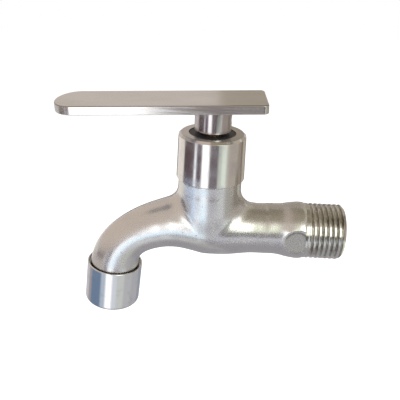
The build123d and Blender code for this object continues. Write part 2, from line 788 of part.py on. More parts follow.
body.part.label = "body"
export_step(body.part, "parts/body.step")
bonnet_sleeve.part.label = "bonnet_sleeve"
export_step(bonnet_sleeve.part, "parts/bonnet_sleeve.step")
dust_ring.part.label = "dust_ring"
export_step(dust_ring.part, "parts/dust_ring.step")
cartridge_housing.part.label = "cartridge_housing"
export_step(cartridge_housing.part, "parts/cartridge_housing.step")
cartridge_washer.part.label = "cartridge_washer"
export_step(cartridge_washer.part, "parts/cartridge_washer.step")
seat_washer.part.label = "seat_washer"
export_step(seat_washer.part, "parts/seat_washer.step")
fixed_disc.part.label = "fixed_disc"
export_step(fixed_disc.part, "parts/fixed_disc.step")
moving_disc.part.label = "moving_disc"
export_step(moving_disc.part, "parts/moving_disc.step")
spindle.part.label = "spindle"
export_step(spindle.part, "parts/spindle.step")
thrust_washer.part.label = "thrust_washer"
export_step(thrust_washer.part, "parts/thrust_washer.step")
spindle_o_ring_lower.part.label = "spindle_o_ring_lower"
export_step(spindle_o_ring_lower.part, "parts/spindle_o_ring_lower.step")
spindle_o_ring_upper.part.label = "spindle_o_ring_upper"
export_step(spindle_o_ring_upper.part, "parts/spindle_o_ring_upper.step")
spindle_circlip.part.label = "spindle_circlip"
export_step(spindle_circlip.part, "parts/spindle_circlip.step")
handle_hub.part.label = "handle_hub"
export_step(handle_hub.part, "parts/handle_hub.step")
lever_plate.part.label = "lever_plate"
export_step(lever_plate.part, "parts/lever_plate.step")
grub_screw.part.label = "grub_screw"
export_step(grub_screw.part, "parts/grub_screw.step")
aerator_shell.part.label = "aerator_shell"
export_step(aerator_shell.part, "parts/aerator_shell.step")
aerator_washer.part.label = "aerator_washer"
export_step(aerator_washer.part, "parts/aerator_washer.step")
aerator_cage.part.label = "aerator_cage"
export_step(aerator_cage.part, "parts/aerator_cage.step")
flow_diffuser.part.label = "flow_diffuser"
export_step(flow_diffuser.part, "parts/flow_diffuser.step")
mesh_screen_upper.part.label = "mesh_screen_upper"
export_step(mesh_screen_upper.part, "parts/mesh_screen_upper.step")
mesh_screen_lower.part.label = "mesh_screen_lower"
export_step(mesh_screen_lower.part, "parts/mesh_screen_lower.step")
outlet_grid.part.label = "outlet_grid"
export_step(outlet_grid.part, "parts/outlet_grid.step")
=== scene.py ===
from math import ceil, cos, pi, radians, sin, tan

import bmesh
import bpy
import numpy as np
from mathutils import Matrix, Vector

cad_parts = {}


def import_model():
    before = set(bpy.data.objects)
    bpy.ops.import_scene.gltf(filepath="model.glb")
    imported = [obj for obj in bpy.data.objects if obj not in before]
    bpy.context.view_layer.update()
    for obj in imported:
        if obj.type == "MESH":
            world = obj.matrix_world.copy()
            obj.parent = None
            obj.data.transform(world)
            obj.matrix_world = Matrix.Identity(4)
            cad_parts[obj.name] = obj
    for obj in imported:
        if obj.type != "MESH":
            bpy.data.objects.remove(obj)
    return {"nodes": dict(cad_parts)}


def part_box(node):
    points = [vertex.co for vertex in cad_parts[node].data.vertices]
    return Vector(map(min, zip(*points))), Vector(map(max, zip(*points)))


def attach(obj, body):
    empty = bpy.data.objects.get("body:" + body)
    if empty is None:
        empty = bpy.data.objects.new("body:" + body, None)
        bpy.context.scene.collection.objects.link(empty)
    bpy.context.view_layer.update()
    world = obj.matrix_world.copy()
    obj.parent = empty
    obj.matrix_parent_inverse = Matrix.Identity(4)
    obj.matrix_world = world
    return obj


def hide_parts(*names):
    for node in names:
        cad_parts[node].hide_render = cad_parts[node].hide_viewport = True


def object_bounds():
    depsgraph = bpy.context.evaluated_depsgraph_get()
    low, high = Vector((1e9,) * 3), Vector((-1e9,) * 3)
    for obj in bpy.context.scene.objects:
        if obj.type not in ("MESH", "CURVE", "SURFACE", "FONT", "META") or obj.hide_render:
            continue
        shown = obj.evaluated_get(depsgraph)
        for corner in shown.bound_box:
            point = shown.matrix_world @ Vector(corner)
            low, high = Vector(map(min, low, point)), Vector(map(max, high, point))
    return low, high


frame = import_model()
cad_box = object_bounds()
nodes = frame["nodes"]

# A utility sink tap. Lengths are in metres, in the frame of the CAD model: the
# inlet points along +X, the spout along -X and the neck stands along +Z.
MM = 0.001

# Camera, as fitted to the outline of the thread, collar, neck, sleeve and cup
CAMERA_PLACE = Vector((-37.893, -185.352, 95.327)) * MM
CAMERA_YAW = radians(-0.45)
CAMERA_PITCH = radians(24.61)
CAMERA_ROLL = radians(-2.73)
FOCAL_PIXELS = 541.6
IMAGE_PIXELS = 400
SENSOR = 36.0
CLIP_START, CLIP_END = 0.01, 20.0

# Inlet thread, G 1/2
THREAD_PITCH = 1.814 * MM
THREAD_DEPTH = 1.05 * MM
THREAD_CREST = 10.4775 * MM
THREAD_LENGTH = 15.0 * MM
THREAD_LEAD = 1.1 * MM
THREAD_RUNOUT = 1.5 * MM
THREAD_START = 0.12 * MM
THREAD_JOIN = 0.95 * MM
INLET_BORE = 7.25 * MM
# Its form in shares of half a pitch: flat crest, then flank. THREAD_ROUNDING is how far the flank is an
# S-curve instead of a straight line.
THREAD_CREST_SHARE = 0.36
THREAD_FLANK_SHARE = 0.62
THREAD_ROUNDING = 0.4
THREAD_STEPS = 120
THREAD_ROWS_PER_PITCH = 18
THREAD_SHARP_ANGLE = 50.0

# Casting: how fine its skin is, how much its edges are worn round, and the angle up to which they are
# shaded smooth
SKIN_VOXEL = 0.34 * MM
SKIN_ROUNDS, SKIN_WEIGHT = 14, 0.5
FLARE_ROUNDS, FLARE_WEIGHT = 90, 0.9
ALL_SMOOTH = 180.0

# The casting's run and neck, in millimetres. The run goes from the barrel through the belly to the spout.
BARREL_PLACES, SPOUT_PLACES = 80, 160
BARREL_END = -9.0
BARREL_RADIUS = 9.6
BELLY_RADIUS = 10.9
BELLY_START, BELLY_FULL = 0.33, 0.86
NECK_RADIUS = 11.7
NECK_TUCK = 0.5
NECK_TUCK_TOP = 9.0
BELLY_TUCK = 0.45
BELLY_TUCK_LOW = -5.0
CROTCH_RADIUS = 6.5
CREASE_RADIUS = 4.5
BARREL_CREASE_RADIUS = 7.5
BARREL_CREASE_FULL = 5.0
CROTCH_FROM, CROTCH_FULL = 0.45, 0.9
BLEND_LEAST = 0.05
SPOUT_REACH = 35.93
SPOUT_DROP = 17.73
SPOUT_LEAN = radians(5.4)
SPOUT_START_HEIGHT = 2.17
SPOUT_LEVEL_PULL = 22.0
SPOUT_END_PULL = 11.5
SPOUT_SHARES = (0.0, 0.27, 0.36, 0.5, 0.64, 0.78, 0.9, 1.0)
SPOUT_RADII = (10.9, 9.99, 9.37, 8.8, 8.41, 8.5, 8.97, 9.6)
SPOUT_FORM_SHARE = 0.27

# Where the blend of neck and run fades in, as places in millimetres of none and full
BLEND_SPOUT_SIDE = (-64.0, -57.0)
BLEND_BARREL_SIDE = (-12.0, -19.0)
BLEND_TOP = (16.0, 12.0)
BLEND_OUTSIDE = (1.5, 5.0)
# Which of the skin is drawn onto the blend: near it and facing as it does
DRAW_NEAR, DRAW_FACING = 3.0, 0.2
DRAW_ROUNDS, DRAW_SHARE = 6, 0.9
BATCH = 4000

# Where the collar's flare and the lip under the sleeve are worn rounder, as places of none and full
FLARE_BARREL_SIDE = (-14.0, -11.0)
FLARE_THREAD_SIDE = (-2.2, -4.0)
FLARE_OUTSIDE = (8.0, 9.0)
LIP_LOW = (15.0, 17.0)
LIP_HIGH = (20.2, 19.6)
LIP_OUTSIDE = (10.0, 11.0)

# The round flat on the collar's front, in millimetres: its place, how far its edge is kept from wear, the
# depth that its painted shade starts at, and the widths of the painted shade's edge and of the painted
# shadow along the rim of its upper half
FLAT_X, FLAT_Z, FLAT_RADIUS = -2.9, -0.6, 4.8
FLAT_KEPT = (0.3, 2.0)
FLAT_SHADE_FRONT = (-9.3, -9.0)
FLAT_SHADE_EDGE = 0.5
FLAT_SHADOW_RIM = (1.3, 0.6)
FLAT_SHADOW_ABOVE = (0.5, 2.5)

# Neck and what stands on it
NECK_X = -36.0 * MM
SLEEVE_FOOT_CHAMFER = (0.25 * MM, 0.3 * MM)
SLEEVE_TOP_CHAMFER = 0.9 * MM
SLEEVE_TAPER = 0.35 * MM
SLEEVE_MOUTH = 8.45 * MM
SLEEVE_ROOF = 1.8 * MM
SLEEVE_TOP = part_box("bonnet_sleeve")[1].z
SLEEVE_WALL = 1.45 * MM
EDGE_ROUND = 0.14 * MM
HUB_CHAMFER = 0.35 * MM
# Below the sleeve's top, where the painted shade and the added roughness of its top face start and are full
TOP_FACE_SHADE = (0.2 * MM, 0.05 * MM)

# The lever's upper face: its droop towards the tip, and its height at x = 0 if it went on
LEVER_DROOP = radians(3.15)
LEVER_TOP = 49.70 * MM - NECK_X * tan(LEVER_DROOP)
# Below that face, where the painted dark reflection along the lever's edge starts and ends
LEVER_SHADE_START = (0.03 * MM, 0.10 * MM)
LEVER_SHADE_END = (0.30 * MM, 0.42 * MM)

# The grub screw's hole in the hub's side
GRUB_HOLE = 1.5 * MM
GRUB_RISE = 4.7 * MM
GRUB_DEPTH = 2.4 * MM

# Fineness of turned pieces
ROUND_STEPS = 160
HOLE_STEPS = 48
ARC_STEPS = 5
EDGE_GUARD = 0.04 * MM
MERGE_GAP = 1e-7
SHARP_ANGLE = 32.0

# Shades of mottling and of stain, against the colour they lie on
MOTTLE_SHADE = 0.72
STAIN_SHADE = 0.7

# Stage: cards for reflections, with degrees from one column or row to the next, floor and sky
CARD_REACH = 300.0 * MM
CARD_STEP = 5
FLOOR_DROP = 320.0 * MM
FLOOR_HALF = 3.0
FLOOR_COLOUR = (0.86, 0.86, 0.86)
FLOOR_ROUGHNESS = 0.9
FLOOR_GLOW = 0.55
SKY_LIGHT, SKY_SEEN = 0.55, 1.0


# Small helpers for meshes
def new_piece(name, bm, sharp_angle=SHARP_ANGLE):
    """A shown object from a bmesh, smooth apart from edges sharper than the angle."""
    mesh = bpy.data.meshes.new(name)
    bmesh.ops.recalc_face_normals(bm, faces=bm.faces)
    bm.to_mesh(mesh)
    bm.free()
    mesh.shade_smooth()
    mesh.set_sharp_from_angle(angle=radians(sharp_angle))
    piece = bpy.data.objects.new(name, mesh)
    bpy.context.scene.collection.objects.link(piece)
    return piece


def rounded(corners):
    """Points along a profile of (radius, height, rounding) corners, each corner rounded by an arc. A guard
    point beside each arc keeps the shading of the straights straight."""
    points = []
    count = len(corners)
    for i, (r, h, rounding) in enumerate(corners):
        here = Vector((r, h))
        if not rounding:
            points.append(here)
            continue
        before = Vector(corners[i - 1][:2]) - here
        after = Vector(corners[(i + 1) % count][:2]) - here
        half = before.angle(after) / 2
        reach = rounding / tan(half)
        start = here + before.normalized() * reach
        end = here + after.normalized() * reach
        middle = (before.normalized() + after.normalized()).normalized()
        centre = here + middle * (rounding / sin(half))
        points.append(start + before.normalized() * EDGE_GUARD)
        for step in range(ARC_STEPS + 1):
            share = step / ARC_STEPS
            chord = start.lerp(end, share) - centre
            points.append(centre + chord.normalized() * rounding)
        points.append(end + after.normalized() * EDGE_GUARD)
    return points


def lathe(name, profile, place=Vector(), axis=Vector((0, 0, 1)), steps=ROUND_STEPS):
    """A closed profile of (radius, height) points turned about an axis through place."""
    turn = Vector((0, 0, 1)).rotation_difference(axis).to_matrix()
    bm = bmesh.new()
    rings = []
    for step in range(steps):
        angle = 2 * pi * step / steps
        ring = [turn @ Vector((r * cos(angle), r * sin(angle), h)) + place for r, h in profile]
        rings.append([bm.verts.new(p) for p in ring])
    for step in range(steps):
        here, there = rings[step], rings[(step + 1) % steps]
        for i in range(len(profile)):
            j = (i + 1) % len(profile)
            bm.faces.new((here[i], there[i], there[j], here[j]))
    bmesh.ops.remove_doubles(bm, verts=bm.verts, dist=MERGE_GAP)
    return new_piece(name, bm)


def keep_modified(piece):
    """Makes what a piece's modifiers show its own mesh."""
    depsgraph = bpy.context.evaluated_depsgraph_get()
    mesh = bpy.data.meshes.new_from_object(piece.evaluated_get(depsgraph))
    piece.modifiers.clear()
    piece.data = mesh


def drill(piece, radius, start, end):
    """Cuts a round hole from start to end out of a piece."""
    along = end - start
    length = along.length
    profile = [(0, 0), (radius, 0), (radius, length), (0, length)]
    cutter = lathe("cutter", profile, start, along.normalized(), HOLE_STEPS)
    cut = piece.modifiers.new("hole", "BOOLEAN")
    cut.operation = "DIFFERENCE"
    cut.object = cutter
    keep_modified(piece)
    bpy.data.objects.remove(cutter)


# Casting
def even_skin(piece, size):
    """Gives a closed piece one even mesh of squares of that size."""
    skin = piece.modifiers.new("skin", "REMESH")
    skin.mode = "VOXEL"
    skin.voxel_size = size
    keep_modified(piece)


def relax(places, edges, rounds, weight):
    """Moves each place towards the middle of its neighbours, rounds times, by its weight."""
    count = len(places)
    first, second = edges[:, 0], edges[:, 1]
    shared = np.bincount(first, minlength=count) + np.bincount(second, minlength=count)
    places = places.copy()
    for _ in range(rounds):
        for axis in range(3):
            column = places[:, axis]
            sums = np.bincount(first, column[second], count) + np.bincount(second, column[first], count)
            column += (sums / shared - column) * weight
    return places


def ramp(values, low, high):
    """0 below low, 1 above high, and smooth between. The other way round if high is below low."""
    share = np.clip((values - low) / (high - low), 0, 1)
    return share * share * (3 - 2 * share)


def run_line():
    """Places along the run's middle, in millimetres, with the run's radius at each."""
    neck = NECK_X / MM
    way = np.linspace(0, 1, BARREL_PLACES)
    barrel = np.stack([BARREL_END + (neck - BARREL_END) * way, way * 0, way * 0], axis=1)
    barrel_radii = BARREL_RADIUS + (BELLY_RADIUS - BARREL_RADIUS) * ramp(way, BELLY_START, BELLY_FULL)
    rim = np.array([neck - SPOUT_REACH, 0, -SPOUT_DROP])
    start = np.array([neck, 0, SPOUT_START_HEIGHT])
    level = start - [SPOUT_LEVEL_PULL, 0, 0]
    above = rim + np.array([sin(SPOUT_LEAN), 0, cos(SPOUT_LEAN)]) * SPOUT_END_PULL
    t = np.linspace(0, 1, SPOUT_PLACES)[:, None]
    back = 1 - t
    spout = back ** 3 * start + 3 * back ** 2 * t * level + 3 * back * t ** 2 * above + t ** 3 * rim
    steps = np.linalg.norm(np.diff(spout, axis=0), axis=1)
    share = np.concatenate([[0], np.cumsum(steps)]) / steps.sum()
    spout[:, 2] *= np.clip(share / SPOUT_FORM_SHARE, 0, 1)
    spout_radii = np.interp(share, SPOUT_SHARES, SPOUT_RADII)
    return np.concatenate([barrel, spout]), np.concatenate([barrel_radii, spout_radii])


def blended_skin(points, line, radii):
    """Distance in millimetres from the blend of neck and run, and the way out of it, for each point."""
    run_gap = np.empty(len(points))
    run_out = np.empty_like(points)
    for start in range(0, len(points), BATCH):
        part = points[start:start + BATCH]
        away = part[:, None, :] - line[None, :, :]
        far = np.linalg.norm(away, axis=2)
        nearest = np.argmin(far - radii, axis=1)
        rows = np.arange(len(part))
        run_gap[start:start + BATCH] = far[rows, nearest] - radii[nearest]
        run_out[start:start + BATCH] = away[rows, nearest] / far[rows, nearest][:, None]
    height = points[:, 2]
    around = points - [NECK_X / MM, 0, 0]
    around[:, 2] = np.minimum(height, 0)
    reach = np.linalg.norm(around, axis=1)
    tuck = NECK_TUCK * ramp(height, NECK_TUCK_TOP, 0) + BELLY_TUCK * ramp(height, 0, BELLY_TUCK_LOW)
    neck_gap = reach - NECK_RADIUS + tuck
    neck_out = around / reach[:, None]
    facing = np.sum(run_out * neck_out, axis=1)
    sideways = ramp(np.abs(around[:, 0]) / reach, CROTCH_FROM, CROTCH_FULL)
    barrel_side = ramp(around[:, 0], 0, BARREL_CREASE_FULL)
    crease = CREASE_RADIUS + (BARREL_CREASE_RADIUS - CREASE_RADIUS) * barrel_side
    radius = crease + (CROTCH_RADIUS - crease) * sideways
    blend = 4 * radius * (1 - np.sqrt(np.clip((1 + facing) / 2, 0, 1))) + BLEND_LEAST
    share = np.clip(0.5 + 0.5 * (run_gap - neck_gap) / blend, 0, 1)
    gap = run_gap * (1 - share) + neck_gap * share - blend * share * (1 - share)
    out = run_out * (1 - share)[:, None] + neck_out * share[:, None]
    return gap, out / np.linalg.norm(out, axis=1)[:, None]


def numbers(collection, name, width):
    """A mesh attribute as rows of width numbers."""
    values = np.empty(len(collection) * width)
    collection.foreach_get(name, values)
    return values.reshape(-1, width)


def blend_neck(mesh):
    """Draws the skin where neck and run meet onto one smooth blend."""
    places = numbers(mesh.vertices, "co", 3) / MM
    outwards = numbers(mesh.vertex_normals, "vector", 3)
    x, y, z = places.T
    near = ramp(x, *BLEND_SPOUT_SIDE) * ramp(x, *BLEND_BARREL_SIDE)
    near *= ramp(z, *BLEND_TOP) * ramp(np.abs(y), *BLEND_OUTSIDE)
    chosen = np.flatnonzero(near > 0)
    line, radii = run_line()
    points = places[chosen].copy()
    gap, out = blended_skin(points, line, radii)
    skin = (np.sum(out * outwards[chosen], axis=1) > DRAW_FACING) & (np.abs(gap) < DRAW_NEAR)
    chosen, points = chosen[skin], points[skin]
    for _ in range(DRAW_ROUNDS):
        gap, out = blended_skin(points, line, radii)
        points -= out * gap[:, None] * DRAW_SHARE
    weight = near[chosen][:, None]
    places[chosen] += (points - places[chosen]) * weight
    return places


def wear_edges(mesh, places):
    """Wears all edges a little, and more on the collar's flare and the lip under the sleeve."""
    edges = numbers(mesh.edges, "vertices", 2).astype(int)
    places = relax(places, edges, SKIN_ROUNDS, SKIN_WEIGHT)
    x, y, z = places.T
    from_flat = np.where(y < 0, np.hypot(x - FLAT_X, z - FLAT_Z) - FLAT_RADIUS, 2 * FLAT_RADIUS)
    flare = ramp(x, *FLARE_BARREL_SIDE) * ramp(x, *FLARE_THREAD_SIDE)
    flare *= ramp(from_flat, *FLAT_KEPT) * ramp(np.hypot(y, z), *FLARE_OUTSIDE)
    lip = ramp(z, *LIP_LOW) * ramp(z, *LIP_HIGH) * ramp(np.hypot(x - NECK_X / MM, y), *LIP_OUTSIDE)
    return relax(places, edges, FLARE_ROUNDS, (flare + lip) * FLARE_WEIGHT)


def casting():
    """The body's skin up to the thread: one even mesh with a blended neck and softly worn edges."""
    bm = bmesh.new()
    bm.from_mesh(nodes["body"].data)
    bmesh.ops.remove_doubles(bm, verts=bm.verts, dist=MERGE_GAP)
    parts = bm.verts[:] + bm.edges[:] + bm.faces[:]
    plane = Vector((THREAD_JOIN, 0, 0))
    bmesh.ops.bisect_plane(bm, geom=parts, plane_co=plane, plane_no=(1, 0, 0), clear_outer=True)
    rim = [e for e in bm.edges if e.is_boundary]
    bmesh.ops.triangle_fill(bm, edges=rim, use_beauty=True)
    piece = new_piece("casting", bm, ALL_SMOOTH)
    even_skin(piece, SKIN_VOXEL)
    mesh = piece.data
    places = wear_edges(mesh, blend_neck(mesh))
    mesh.vertices.foreach_set("co", (places * MM).ravel())
    mesh.update()
    mesh.shade_smooth()
    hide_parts("body")
    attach(piece, "tap")
    return piece


# Inlet thread
def thread_radius(x, angle):
    """Radius of the thread's skin at a place along the inlet and an angle round it."""
    turn = (x / THREAD_PITCH - angle / (2 * pi)) % 1.0
    flank = abs(turn * 2 - 1)
    slope = min(max((flank - THREAD_CREST_SHARE) / THREAD_FLANK_SHARE, 0), 1)
    depth = slope * slope * (3 - 2 * slope) * THREAD_ROUNDING + slope * (1 - THREAD_ROUNDING)
    fade = min(max((x - THREAD_JOIN) / THREAD_RUNOUT, 0), 1)
    lead = THREAD_CREST - max(x - THREAD_LENGTH + THREAD_LEAD, 0)
    return min(THREAD_CREST - THREAD_DEPTH * depth * fade, lead)


def inlet_thread():
    """A right-hand pipe thread as one turned skin, with its lead, end face and bore."""
    angles = [2 * pi * step / THREAD_STEPS for step in range(THREAD_STEPS)]
    rows = ceil(THREAD_LENGTH / THREAD_PITCH * THREAD_ROWS_PER_PITCH)
    outside = []
    for row in range(rows + 1):
        x = THREAD_START + (THREAD_LENGTH - THREAD_START) * row / rows
        outside.append([(x, thread_radius(x, angle)) for angle in angles])
    mouth = EDGE_ROUND * 2
    inside = (
        (THREAD_LENGTH, INLET_BORE + mouth),
        (THREAD_LENGTH - mouth, INLET_BORE),
        (THREAD_START, INLET_BORE),
    )
    bm = bmesh.new()
    rings = []
    for row in outside + [[place] * THREAD_STEPS for place in inside]:
        rings.append([bm.verts.new((x, r * cos(a), r * sin(a))) for (x, r), a in zip(row, angles)])
    rings.append(rings[0])
    for here, there in zip(rings, rings[1:]):
        for i in range(THREAD_STEPS):
            j = (i + 1) % THREAD_STEPS
            bm.faces.new((here[i], here[j], there[j], there[i]))
    piece = new_piece("inlet_thread", bm, THREAD_SHARP_ANGLE)
    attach(piece, "tap")
    return piece


# Turned pieces on the neck
def sleeve():
    """The bonnet sleeve, as one turned piece: a tapering wall, a roof and the mouth for the dust ring."""
    low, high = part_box("bonnet_sleeve")
    foot = (high.x - low.x) / 2
    top = foot - SLEEVE_TAPER
    inset, rise = SLEEVE_FOOT_CHAMFER
    bore = foot - SLEEVE_WALL
    roof = high.z - SLEEVE_ROOF
    corners = [
        (bore, low.z, EDGE_ROUND),
        (foot - inset, low.z, EDGE_ROUND),
        (foot, low.z + rise, EDGE_ROUND),
        (top, high.z - SLEEVE_TOP_CHAMFER, EDGE_ROUND),
        (top - SLEEVE_TOP_CHAMFER, high.z, EDGE_ROUND),
        (SLEEVE_MOUTH, high.z, EDGE_ROUND),
        (SLEEVE_MOUTH, roof, EDGE_ROUND),
        (bore, roof, EDGE_ROUND),
    ]
    piece = lathe("sleeve", rounded(corners), Vector((NECK_X, 0, 0)))
    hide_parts("bonnet_sleeve")
    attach(piece, "tap")
    return piece


def hub():
    """The stub under the lever, with the grub screw's hole in its side."""
    low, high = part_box("handle_hub")
    outer = (high.y - low.y) / 2
    corners = [
        (0, low.z, 0),
        (outer - HUB_CHAMFER, low.z, EDGE_ROUND),
        (outer, low.z + HUB_CHAMFER, EDGE_ROUND),
        (outer, high.z - EDGE_ROUND, EDGE_ROUND / 2),
        (0, high.z - EDGE_ROUND, 0),
    ]
    piece = lathe("hub", rounded(corners), Vector((NECK_X, 0, 0)))
    height = low.z + GRUB_RISE
    outside = Vector((NECK_X + outer * 2, 0, height))
    inside = Vector((NECK_X + outer - GRUB_DEPTH, 0, height))
    drill(piece, GRUB_HOLE, outside, inside)
    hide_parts("handle_hub")
    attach(piece, "handle")
    return piece


# Materials
class Look:
    """A node material under construction. Its textures lie in the object's own space, and sizes in calls are
    in millimetres."""

    def __init__(self, name, colour, roughness, metallic=1.0):
        self.material = bpy.data.materials.new(name)
        self.material.use_nodes = True
        self.tree = self.material.node_tree
        self.shader = self.tree.nodes["Principled BSDF"]
        self.shader.inputs["Metallic"].default_value = metallic
        self.colour = self.rgb(colour)
        self.roughness = self.number(roughness)
        self.height = None
        place = self.tree.nodes.new("ShaderNodeTexCoord")
        self.place = place.outputs["Object"]

    def rgb(self, colour):
        """A plain colour."""
        node = self.tree.nodes.new("ShaderNodeRGB")
        node.outputs[0].default_value = (*colour, 1)
        return node.outputs[0]

    def number(self, value):
        """A plain number."""
        node = self.tree.nodes.new("ShaderNodeValue")
        node.outputs[0].default_value = value
        return node.outputs[0]

    def noise(self, size, detail=3.0, shift=0.0):
        """Noise whose cells are size = (x, y, z) millimetres long, from 0 to 1."""
        mapping = self.tree.nodes.new("ShaderNodeMapping")
        mapping.inputs["Scale"].default_value = [1 / (s * MM) for s in size]
        mapping.inputs["Location"].default_value = (shift, shift, shift)
        self.tree.links.new(self.place, mapping.inputs["Vector"])
        texture = self.tree.nodes.new("ShaderNodeTexNoise")
        texture.inputs["Scale"].default_value = 1.0
        texture.inputs["Detail"].default_value = detail
        self.tree.links.new(mapping.outputs[0], texture.inputs["Vector"])
        return texture.outputs["Fac"]

    def along(self, axis):
        """How far along the object's X, Y or Z, in metres."""
        parts = self.tree.nodes.new("ShaderNodeSeparateXYZ")
        self.tree.links.new(self.place, parts.inputs[0])
        return parts.outputs[axis]

    def window(self, value, low, high, to_low=0.0, to_high=1.0):
        """value from low to high becomes to_low to to_high, and stays there outside."""
        node = self.tree.nodes.new("ShaderNodeMapRange")
        self.tree.links.new(value, node.inputs["Value"])
        node.inputs["From Min"].default_value = low
        node.inputs["From Max"].default_value = high
        node.inputs["To Min"].default_value = to_low
        node.inputs["To Max"].default_value = to_high
        return node.outputs["Result"]

    def math(self, operation, a, b):
        """The outcome of one operation on two values, each a number or a socket."""
        node = self.tree.nodes.new("ShaderNodeMath")
        node.operation = operation
        for socket, value in zip(node.inputs, (a, b)):
            if isinstance(value, (int, float)):
                socket.default_value = value
            else:
                self.tree.links.new(value, socket)
        return node.outputs[0]

    def tint(self, colour, share):
        """Mixes another colour in where share is high."""
        node = self.tree.nodes.new("ShaderNodeMix")
        node.data_type = "RGBA"
        self.tree.links.new(share, node.inputs["Factor"])
        self.tree.links.new(self.colour, node.inputs["A"])
        node.inputs["B"].default_value = (*colour, 1)
        self.colour = node.outputs["Result"]

    def rougher(self, amount, share):
        """Adds amount of roughness where share is high."""
        self.roughness = self.math("ADD", self.roughness, self.math("MULTIPLY", share, amount))

    def raise_by(self, share, depth):
        """Adds relief: share of 0 to 1 stands for depth in millimetres."""
        scaled = self.math("MULTIPLY", share, depth * MM)
        self.height = scaled if self.height is None else self.math("ADD", self.height, scaled)

    def done(self):
        """Joins colour, roughness and relief to the shader. Returns the material."""
        self.tree.links.new(self.colour, self.shader.inputs["Base Color"])
        self.tree.links.new(self.roughness, self.shader.inputs["Roughness"])
        if self.height is not None:
            bump = self.tree.nodes.new("ShaderNodeBump")
            bump.inputs["Distance"].default_value = 1.0
            self.tree.links.new(self.height, bump.inputs["Height"])
            self.tree.links.new(bump.outputs[0], self.shader.inputs["Normal"])
        return self.material


def paint_flat_shade(look):
    """A darker face on the collar's round flat, which is painted shade, with a painted shadow along the rim
    of its upper half.
    """
    aside = look.math("SUBTRACT", look.along("X"), FLAT_X * MM)
    above = look.math("SUBTRACT", look.along("Z"), FLAT_Z * MM)
    squares = look.math("ADD", look.math("POWER", aside, 2.0), look.math("POWER", above, 2.0))
    from_middle = look.math("POWER", squares, 0.5)
    front = look.window(look.along("Y"), FLAT_SHADE_FRONT[0] * MM, FLAT_SHADE_FRONT[1] * MM, 1, 0)
    inside = look.window(from_middle, (FLAT_RADIUS - FLAT_SHADE_EDGE) * MM, FLAT_RADIUS * MM, 1, 0)
    # Painted shade: the flat's face is darkened in colour
    look.tint((0.45, 0.435, 0.395), look.math("MULTIPLY", inside, front))
    rim_from, rim_full = [(FLAT_RADIUS - inset) * MM for inset in FLAT_SHADOW_RIM]
    rim = look.math("MULTIPLY", inside, look.window(from_middle, rim_from, rim_full))
    upper = look.window(above, FLAT_SHADOW_ABOVE[0] * MM, FLAT_SHADOW_ABOVE[1] * MM)
    upper_rim_shadow = look.math("MULTIPLY", rim, upper)
    # Painted shadow along the rim of the flat's upper half
    look.tint((0.26, 0.25, 0.23), look.math("MULTIPLY", look.math("MULTIPLY", upper_rim_shadow, front), 0.8))


def cast_steel():
    """Satin stainless steel: fine blasted grain, soft clouds, a few pits with painted shade in them, and
    painted shade on the collar's round flat.
    """
    look = Look("cast_steel", (0.62, 0.605, 0.59), 0.225)
    clouds = look.noise((14, 14, 14), 4)
    look.tint((0.55, 0.54, 0.54), look.window(clouds, 0.45, 0.75))
    grain = look.noise((0.35, 0.35, 0.35), 2, 3.0)
    look.rougher(0.10, look.window(grain, 0.35, 0.7))
    look.raise_by(grain, 0.0045)
    streaks = look.noise((0.5, 0.5, 6), 3, 7.0)
    look.raise_by(streaks, 0.005)
    pits_and_shade = look.window(look.noise((1.3, 1.3, 1.3), 2, 11.0), 0.70, 0.76)
    look.raise_by(pits_and_shade, -0.03)
    # Painted shade: the pits are darkened in colour as well as sunk
    look.tint((0.25, 0.23, 0.22), look.math("MULTIPLY", pits_and_shade, 0.6))
    # Painted shade and painted shadow on the collar's round flat
    paint_flat_shade(look)
    return look.done()


def thread_steel():
    """Cut threads: brighter flanks with fine tool marks round the axis."""
    look = Look("thread_steel", (0.62, 0.605, 0.57), 0.12)
    marks = look.noise((0.12, 2.5, 2.5), 3)
    look.raise_by(marks, 0.003)
    look.rougher(0.12, look.window(marks, 0.4, 0.7))
    clouds = look.noise((5, 5, 5), 3, 5.0)
    look.tint((0.42, 0.41, 0.37), look.window(clouds, 0.48, 0.7))
    return look.done()


def polished_steel():
    """Turned and polished steel: fine lines round the neck, faint smears, and a rougher top face with
    painted shade.
    """
    look = Look("polished_steel", (0.66, 0.64, 0.62), 0.13)
    lines = look.noise((30, 30, 0.12), 2)
    look.raise_by(lines, 0.0015)
    streaks = look.noise((0.45, 0.45, 9), 3, 4.0)
    look.raise_by(streaks, 0.004)
    smears = look.noise((6, 6, 4), 4, 2.0)
    look.rougher(0.10, look.window(smears, 0.45, 0.75))
    look.tint((0.56, 0.54, 0.55), look.window(smears, 0.5, 0.8))
    # Painted shade: the sleeve's top face is darkened in colour, and it is also made rougher
    top_face_shade = look.window(look.along("Z"), SLEEVE_TOP - TOP_FACE_SHADE[0], SLEEVE_TOP - TOP_FACE_SHADE[1])
    look.tint((0.49, 0.465, 0.45), top_face_shade)
    look.rougher(0.08, top_face_shade)
    return look.done()


def shaded_hub_steel():
    """The turned stub: its colour is painted darker than the sleeve's, as shade under the lever, with fine
    turning lines.
    """
    # Painted shade: the base colour is darker than the sleeve's
    look = Look("shaded_hub_steel", (0.48, 0.45, 0.455), 0.15)
    lines = look.noise((30, 30, 0.15), 2)
    look.raise_by(lines, 0.002)
    smears = look.noise((4, 4, 3), 3, 8.0)
    look.rougher(0.12, look.window(smears, 0.4, 0.7))
    look.tint((0.42, 0.39, 0.39), look.window(smears, 0.45, 0.75))
    return look.done()


